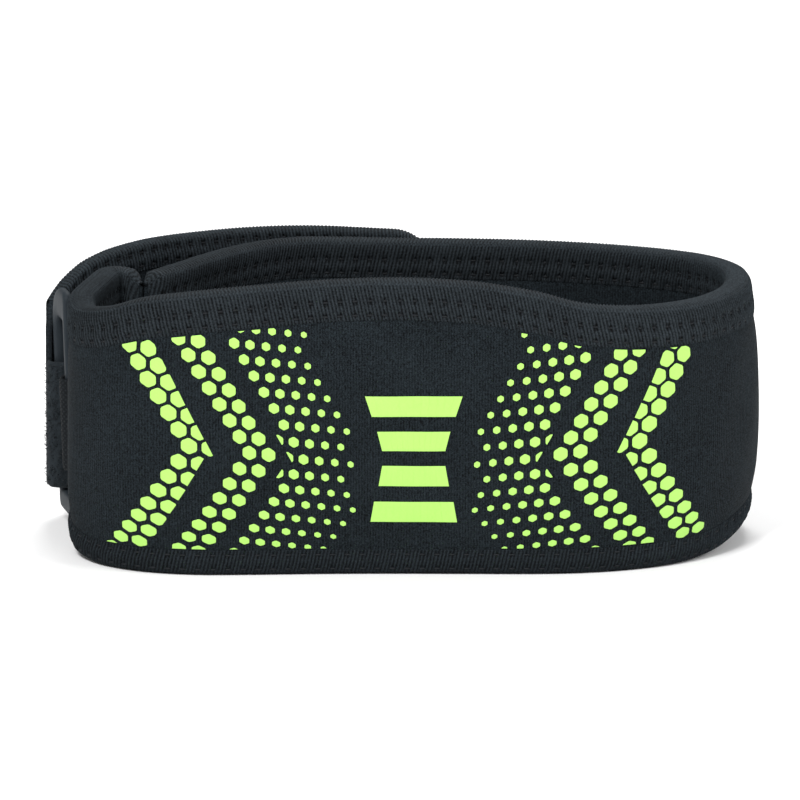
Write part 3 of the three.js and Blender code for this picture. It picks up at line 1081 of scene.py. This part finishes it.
# Neck strap. The narrow loop-pile strap that leaves the rear wall, passes through the ring
# and turns back round its rear bar. Small loops stand on it like the real pile.
NECK = 1.4
NECK_BOTTOM = 8.6
NECK_TOP = 37.4
LOOPS = 2600  # on each face
LOOP_HALF = 0.32
LOOP_WAVE = 0.1
LOOP_TALL = 0.62
LOOP_SUNK = 0.12
LOOP_THREAD = 0.055
LOOP_TURN = 1.2  # how far the loops turn and tilt at random, as slopes
LOOP_TILT = 0.25
LOOP_SIZES = (0.75, 1.25)
PILE_MARGIN = 0.4
BAND_EDGE = 24  # the power of a band's edges, where a higher one is squarer
WEAVE = (1.6, 1.1)  # pitch of a woven band along and up

# x and y, from the rear wall through the ring and round its rear bar
NECK_LINE = (
    (-39.4, 29.8),
    (-46.4, 22.2),
    (-51.6, 16.4),
    (-56.4, 12.5),
    (-62.4, 11.2),
    (-68.5, 9.5),
    (-73.2, 7.9),
    (-75.6, 7.5),
    (-77.7, 8.4),
    (-78.4, 10.1),
)

pile_look = Look("loop_pile")
tuft = pile_look.noise(0.5, 3.0, seed=21.0)
worn = pile_look.noise(5.0, 3.0, seed=23.0)
pile_look.colours(tuft * 0.7 + worn * 0.5 - 0.1, seen(4, 6, 8), seen(48, 55, 60))
pile_look.roughness(0.98 - tuft * 0.12)
pile_look.bump(tuft + worn * 0.4, 0.12)
pile_look.set(Sheen_Weight=0.05, Sheen_Roughness=0.5, Specular_IOR_Level=0.12)
pile_material = pile_look.material


def band(name, line, thick, low, high, lean, material, weave=0.0):
    """A flat band on edge along a line, with rounded edges, that may lean with the ring."""
    s = np.arange(0, line.length, 0.3)
    up = np.linspace(0, 1, 42)
    round_off = np.sqrt(np.clip(1 - np.abs(2 * up - 1) ** BAND_EDGE, 0.02, 1))
    z = low + (high - low) * np.concatenate([up, up[::-1]])
    n = np.concatenate([round_off, -round_off[::-1]]) * (thick / 2 - weave)
    if weave:
        over = np.cos(2 * math.pi * s / WEAVE[0])[:, None]
        under = np.cos(2 * math.pi * z / WEAVE[1])[None, :]
        n = n + weave * np.sign(n) * over * under
    else:
        n = np.broadcast_to(n, (len(s), len(n)))
    z = np.broadcast_to(z, n.shape)
    plan = line.place(np.broadcast_to(s[:, None], n.shape), n)
    x = plan[..., 0] - lean * (z - HEIGHT / 3)
    grid = np.stack([x, plan[..., 1], z], -1)
    v = np.concatenate([z[0], z[0][:1]])
    return skin_mesh(name, grid, (s, v), material)


neck_line = Line(NECK_LINE, 1)
neck = band("neck_band", neck_line, NECK, NECK_BOTTOM, NECK_TOP, 0, pile_material)
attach(neck, "root")
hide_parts("neck_strap")


def loop_form():
    """One loop of the pile: a bent thread of four sides."""
    mesh = bpy.data.meshes.new("pile_loop")
    verts, faces = [], []
    arcs, sides = 7, 4
    for i in range(arcs + 1):
        a = math.pi * i / arcs
        x, y = LOOP_HALF * math.cos(a), LOOP_WAVE * math.sin(3 * a)
        centre = Vector((x, y, LOOP_TALL * math.sin(a) - LOOP_SUNK))
        out = Vector((math.cos(a), 0, math.sin(a)))
        for k in range(sides):
            b = 2 * math.pi * k / sides
            spoke = out * math.cos(b) + Vector((0, 1, 0)) * math.sin(b)
            verts.append((centre + spoke * LOOP_THREAD) * MM)
    for i in range(arcs):
        for k in range(sides):
            a, b = i * sides + k, i * sides + (k + 1) % sides
            faces.append((a, b, b + sides, a + sides))
    faces.append(tuple(range(sides))[::-1])
    faces.append(tuple(range(arcs * sides, arcs * sides + sides)))
    mesh.from_pydata(verts, [], faces)
    return bpy.data.objects.new("pile_loop", mesh)


def pile(name, line, count, low, high, face, thick, seed):
    """Loops scattered over one face of a band, each turned and sized a little differently."""
    chance = np.random.default_rng(seed)
    s = chance.uniform(0, line.length - 0.5, count)
    z = chance.uniform(low + PILE_MARGIN, high - PILE_MARGIN, count)
    away = np.full(count, face * thick / 2)
    plan = line.place(s, away)
    points = np.concatenate([plan, z[:, None]], -1)
    outs = np.concatenate([line.along(line.out, s) * face, np.zeros((count, 1))], -1)
    turned = chance.normal(0, LOOP_TURN, (count, 1))
    ways = np.concatenate([line.along(line.way, s), turned], -1)
    outs = outs + chance.normal(0, LOOP_TILT, outs.shape)
    sizes = np.repeat(chance.uniform(*LOOP_SIZES, count)[:, None], 3, 1)
    return scatter(name, loop_form(), points, turned_to(ways, outs), sizes, pile_material)


for name, face, seed in (("neck_pile", 1, 5), ("neck_pile_back", -1, 6)):
    neck_pile = pile(name, neck_line, LOOPS, NECK_BOTTOM, NECK_TOP, face, NECK, seed)
    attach(neck_pile, "root")


# Ring tab. Plain woven webbing that loops round the ring's front bar and is sewn under
# the fold of the strip. Its line is worked out from the ring's own place.
RING_BAR = 2.4
RING_BOTTOM = 3.4
RING_TOP = 55.4
RING_FOOT = 4.6
RING_HEAD = 7.2
RING_SPAN = 11.5
RING_LEAN = 0.035
RING_AT = np.array((-74.102, 4.864)) + SHIFT
RING_TURN = math.radians(12.6)
TAB = 0.8
TAB_BOTTOM = 15.0
TAB_TOP = 36.0
ring_back = np.array((-math.sin(RING_TURN), math.cos(RING_TURN)))
front_bar = RING_AT - ring_back * RING_SPAN / 2 - SHIFT
tab_wrap = RING_BAR * 0.64 + SEAT + TAB / 2
tab_turn = [math.radians(d) for d in (10, -50, -100, -150, -200)]
tab_ways = [(1.5, 2.65), (1.2, 1.4)]
tab_ways += [(math.cos(a), math.sin(a)) for a in tab_turn]
tab_ways += [(-0.65, 1.15), (0.75, 2.85)]
tab_line = Line([front_bar + np.array(way) * tab_wrap for way in tab_ways], 1)
web_look = Look("webbing")
u, v = web_look.uv()
hairs = web_look.noise(0.3, 2.0, seed=31.0)
plait = (u + v).wave(1.1) * (u - v).wave(1.1)
web_look.colours(plait * 0.5 + hairs * 0.5, seen(6, 8, 10), seen(30, 35, 39))
web_look.roughness(0.85 - plait * 0.2)
web_look.bump(plait + hairs * 0.3, 0.12)
web_look.set(Specular_IOR_Level=0.15)
tab = band(
    "webbing_tab", tab_line, TAB, TAB_BOTTOM, TAB_TOP, RING_LEAN, web_look.material, weave=0.04
)
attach(tab, "root")
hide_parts("ring_tab")


# Hook patch inside the free end. A field of small moulded hooks on a flat backing, sewn to
# the closing strap's inner face, where it grips the cloth of the rear wall.
HOOK = 1.2
HOOK_LENGTH = 17.0
HOOK_MARGIN = 3.0  # between the patch and the tape above and below it
HOOK_END_GAP = 0.5  # between the patch and the tape round the free end
HOOK_PITCH = 1.5
HOOK_SIZE = 0.7  # of a hook, as a share of a pile loop
hook_look = Look("hook_tape")
grain = hook_look.noise(0.6, 2.0, seed=41.0)
hook_look.colours(grain, seen(16, 18, 20), seen(40, 43, 47))
hook_look.roughness(0.5 + grain * 0.2)
hook_look.bump(grain, 0.05)
hook_from = closing.length - HOOK_LENGTH - THIN_REACH - HOOK_END_GAP
hook_low = end_low + THIN_REACH + HOOK_MARGIN
hook_high = end_top - THIN_REACH - HOOK_MARGIN
s = np.linspace(hook_from, hook_from + HOOK_LENGTH, 30)
z = hook_low + np.array([0, 0.5, 1, 1, 0.5, 0]) * (hook_high - hook_low)
n = np.array([-0.2, -0.2, -0.2, -1, -1, -1]) * HOOK - STRAP / 2
hook_v = np.concatenate([z, z[:1]])
hook_grid = closing_at(s[:, None], z[None, :], n[None, :])
hook_back = skin_mesh("hook_backing", hook_grid, (s, hook_v), hook_look.material, smooth=False)
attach(hook_back, "root")
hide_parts("hook_patch")

hook_s = np.arange(s[0] + 1, s[-1] - 0.5, HOOK_PITCH)
hook_z = np.arange(hook_low + 1, hook_high - 0.5, HOOK_PITCH)
hs, hz = (each.ravel() for each in np.meshgrid(hook_s, hook_z))
hook_points = closing_at(hs, hz, -STRAP / 2 - HOOK + 0.02)
hook_ways = closing_at(hs + 0.2, hz, -2.0) - closing_at(hs - 0.2, hz, -2.0)
hook_outs = closing_at(hs, hz, -3.0) - closing_at(hs, hz, -2.0)
hook_turns = turned_to(hook_ways, hook_outs)
hook_sizes = np.full((len(hs), 3), HOOK_SIZE)
hooks = scatter("hooks", loop_form(), hook_points, hook_turns, hook_sizes, hook_look.material)
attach(hooks, "root")


# Ring. A smooth moulded plastic slot ring, its bars rounded, its upper rear corner cut in
# one wide round. Its rear bar carries the neck strap and its front bar the tab.
BAR_POWER = 0.6


def ring_outline(half, low, high, corners):
    """Four sides and four rounded corners, with as many points on any such outline."""
    places = ((-half, low), (half, low), (half, high), (-half, high))
    ways = ((1, 0), (0, 1), (-1, 0), (0, -1))
    points = []
    for k in range(4):
        here, before, after = (np.array(each, float) for each in (places[k], ways[k - 1], ways[k]))
        start, end = here - before * corners[k], here + after * corners[k]
        t = np.linspace(0, 1, 15)[:, None]
        points.append(start * (1 - t) ** 2 + here * 2 * t * (1 - t) + end * t**2)
        goal = np.array(places[(k + 1) % 4], float) - after * corners[(k + 1) % 4]
        t = np.linspace(0, 1, 14)[1:-1, None]
        points.append(end * (1 - t) + goal * t)
    return np.vstack(points)


ring_half = (RING_SPAN + RING_BAR) / 2
ring_gap = ring_half - RING_BAR
tall = RING_TOP - RING_BOTTOM
small = ring_half * 0.15
wide = ring_half * 1.5
near = ring_half * 0.4
soft = ring_gap * 0.35
outer_line = ring_outline(ring_half, 0, tall, (small, small, wide, near))
inner_line = ring_outline(ring_gap, RING_FOOT, tall - RING_HEAD, (soft, soft, ring_gap, soft))
RING_SIDES = 20
round_bar = np.linspace(0, 2 * math.pi, RING_SIDES + 1)[:-1]
middle = (outer_line + inner_line)[:, None, :] / 2
spread = (outer_line - inner_line)[:, None, :] / 2
flat = middle + spread * squarer(np.cos(round_bar), BAR_POWER)[None, :, None]
deep = squarer(np.sin(round_bar), BAR_POWER) * RING_BAR / 2
depth = np.broadcast_to(deep, flat.shape[:2])
back, up = flat[..., 0], flat[..., 1]
x = depth * math.cos(RING_TURN) - back * math.sin(RING_TURN)
y = depth * math.sin(RING_TURN) + back * math.cos(RING_TURN)
x = x - RING_LEAN * (up - (HEIGHT / 3 - RING_BOTTOM))
ring_grid = np.stack([x + RING_AT[0], y + RING_AT[1], up + RING_BOTTOM], -1)
ring_uv = (np.arange(len(ring_grid) + 1) * 0.5, np.arange(RING_SIDES + 1) * 0.4)
plastic = Look("ring_plastic")
haze = plastic.noise(0.8, 2.0, seed=51.0)
scuff = plastic.noise(6.0, 3.0, seed=53.0)
plastic.colours(haze * 0.4 + scuff * 0.6, seen(34, 39, 43), seen(48, 54, 59))
plastic.roughness(0.42 + scuff * 0.2)
plastic.bump(haze, 0.02)
plastic.set(Specular_IOR_Level=0.06)
ring = skin_mesh("plastic_ring", ring_grid, ring_uv, plastic.material, closed=True)
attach(ring, "root")
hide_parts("ring")
